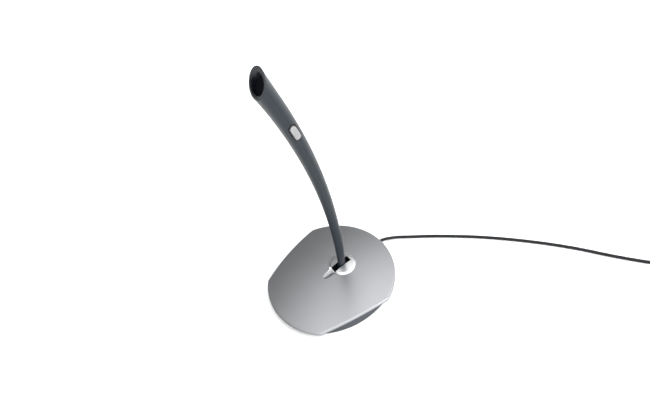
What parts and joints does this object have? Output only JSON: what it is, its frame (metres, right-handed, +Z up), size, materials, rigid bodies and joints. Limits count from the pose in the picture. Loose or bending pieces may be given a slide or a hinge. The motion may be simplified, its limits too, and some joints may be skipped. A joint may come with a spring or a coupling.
{
  "type": "desktop microphone",
  "caption": "Desktop stalk microphone: flat domed base, tilting curved stalk with a slide switch and an oblique mouth, thin lead with a 3.5 mm plug.",
  "frame": {"origin": "on the table under the centre of the base", "axes": "+Z up, +Y to the back where the lead leaves, +X to the side with the switch"},
  "size_m": [0.2551, 0.3432, 0.238],
  "materials": {
    "silver_paint": "satin metallic paint over a moulded cover",
    "housing_plastic": "fine matt texture",
    "cap_gloss": "bright satin-chrome plated plastic",
    "stalk_plastic": "satin",
    "frame_plastic": "matt",
    "knob_plastic": "satin",
    "liner_gloss": "gloss",
    "acoustic_foam": "open-cell foam",
    "steel": "zinc plated",
    "spring_steel": "bright",
    "nylon": "black, glass-filled",
    "black_steel": "black oxide",
    "black_rubber": "soft matt",
    "aluminium_can": "drawn",
    "board_laminate": "solder mask",
    "switch_can": "tinned",
    "lead_jacket": "smooth PVC",
    "wire_red": "insulated wire",
    "plug_plastic": "moulded PVC",
    "contact_metal": "nickel plated",
    "insulator": "gloss",
    "tie_plastic": "matt"
  },
  "bodies": {
    "base": {"base_cover": "silver_paint", "lower_housing": "housing_plastic", "rubber_feet": "black_rubber", "ballast_plate": "steel", "case_screws": "steel", "pivot_cap": "cap_gloss", "pivot_bracket": "black_steel", "friction_washers": "nylon", "cone_springs": "spring_steel", "bracket_screws": "steel", "ballast_screws": "steel", "clamp_screws": "steel", "cable_gland": "black_rubber", "cable_stub": "lead_jacket", "cable_clamp": "housing_plastic", "base_lead": "wire_red", "cord_tube": "lead_jacket", "cord_coil": "lead_jacket", "coil_tie": "tie_plastic", "cord_tail": "lead_jacket", "plug_relief": "plug_plastic", "plug_body": "plug_plastic", "jack_contacts": "contact_metal", "jack_insulators": "insulator"},
    "stalk": {"pivot_axle": "black_steel", "axle_clips": "black_steel", "stalk_front_shell": "stalk_plastic", "stalk_rear_shell": "stalk_plastic", "stalk_lead": "wire_red", "switch_frame": "frame_plastic", "slide_switch": "switch_can", "switch_board": "board_laminate", "mouth_bezel": "liner_gloss", "foam_windscreen": "acoustic_foam", "mic_capsule": "aluminium_can", "capsule_sleeve": "black_rubber", "capsule_lead": "wire_red"},
    "switch": {"switch_knob": "knob_plastic", "switch_actuator": "insulator"}
  },
  "joints": [
    {"name": "stalk_tilt", "type": "hinge", "parent": "base", "child": "stalk", "pos_m": [0, 0.0136, 0.0081], "axis": [1, 0, 0], "range_deg": [-18, 42]},
    {"name": "switch_slide", "type": "slide", "parent": "stalk", "child": "switch", "axis": [0, -0.1998, 0.9798], "range_m": [0, 0.0018]}
  ]
}
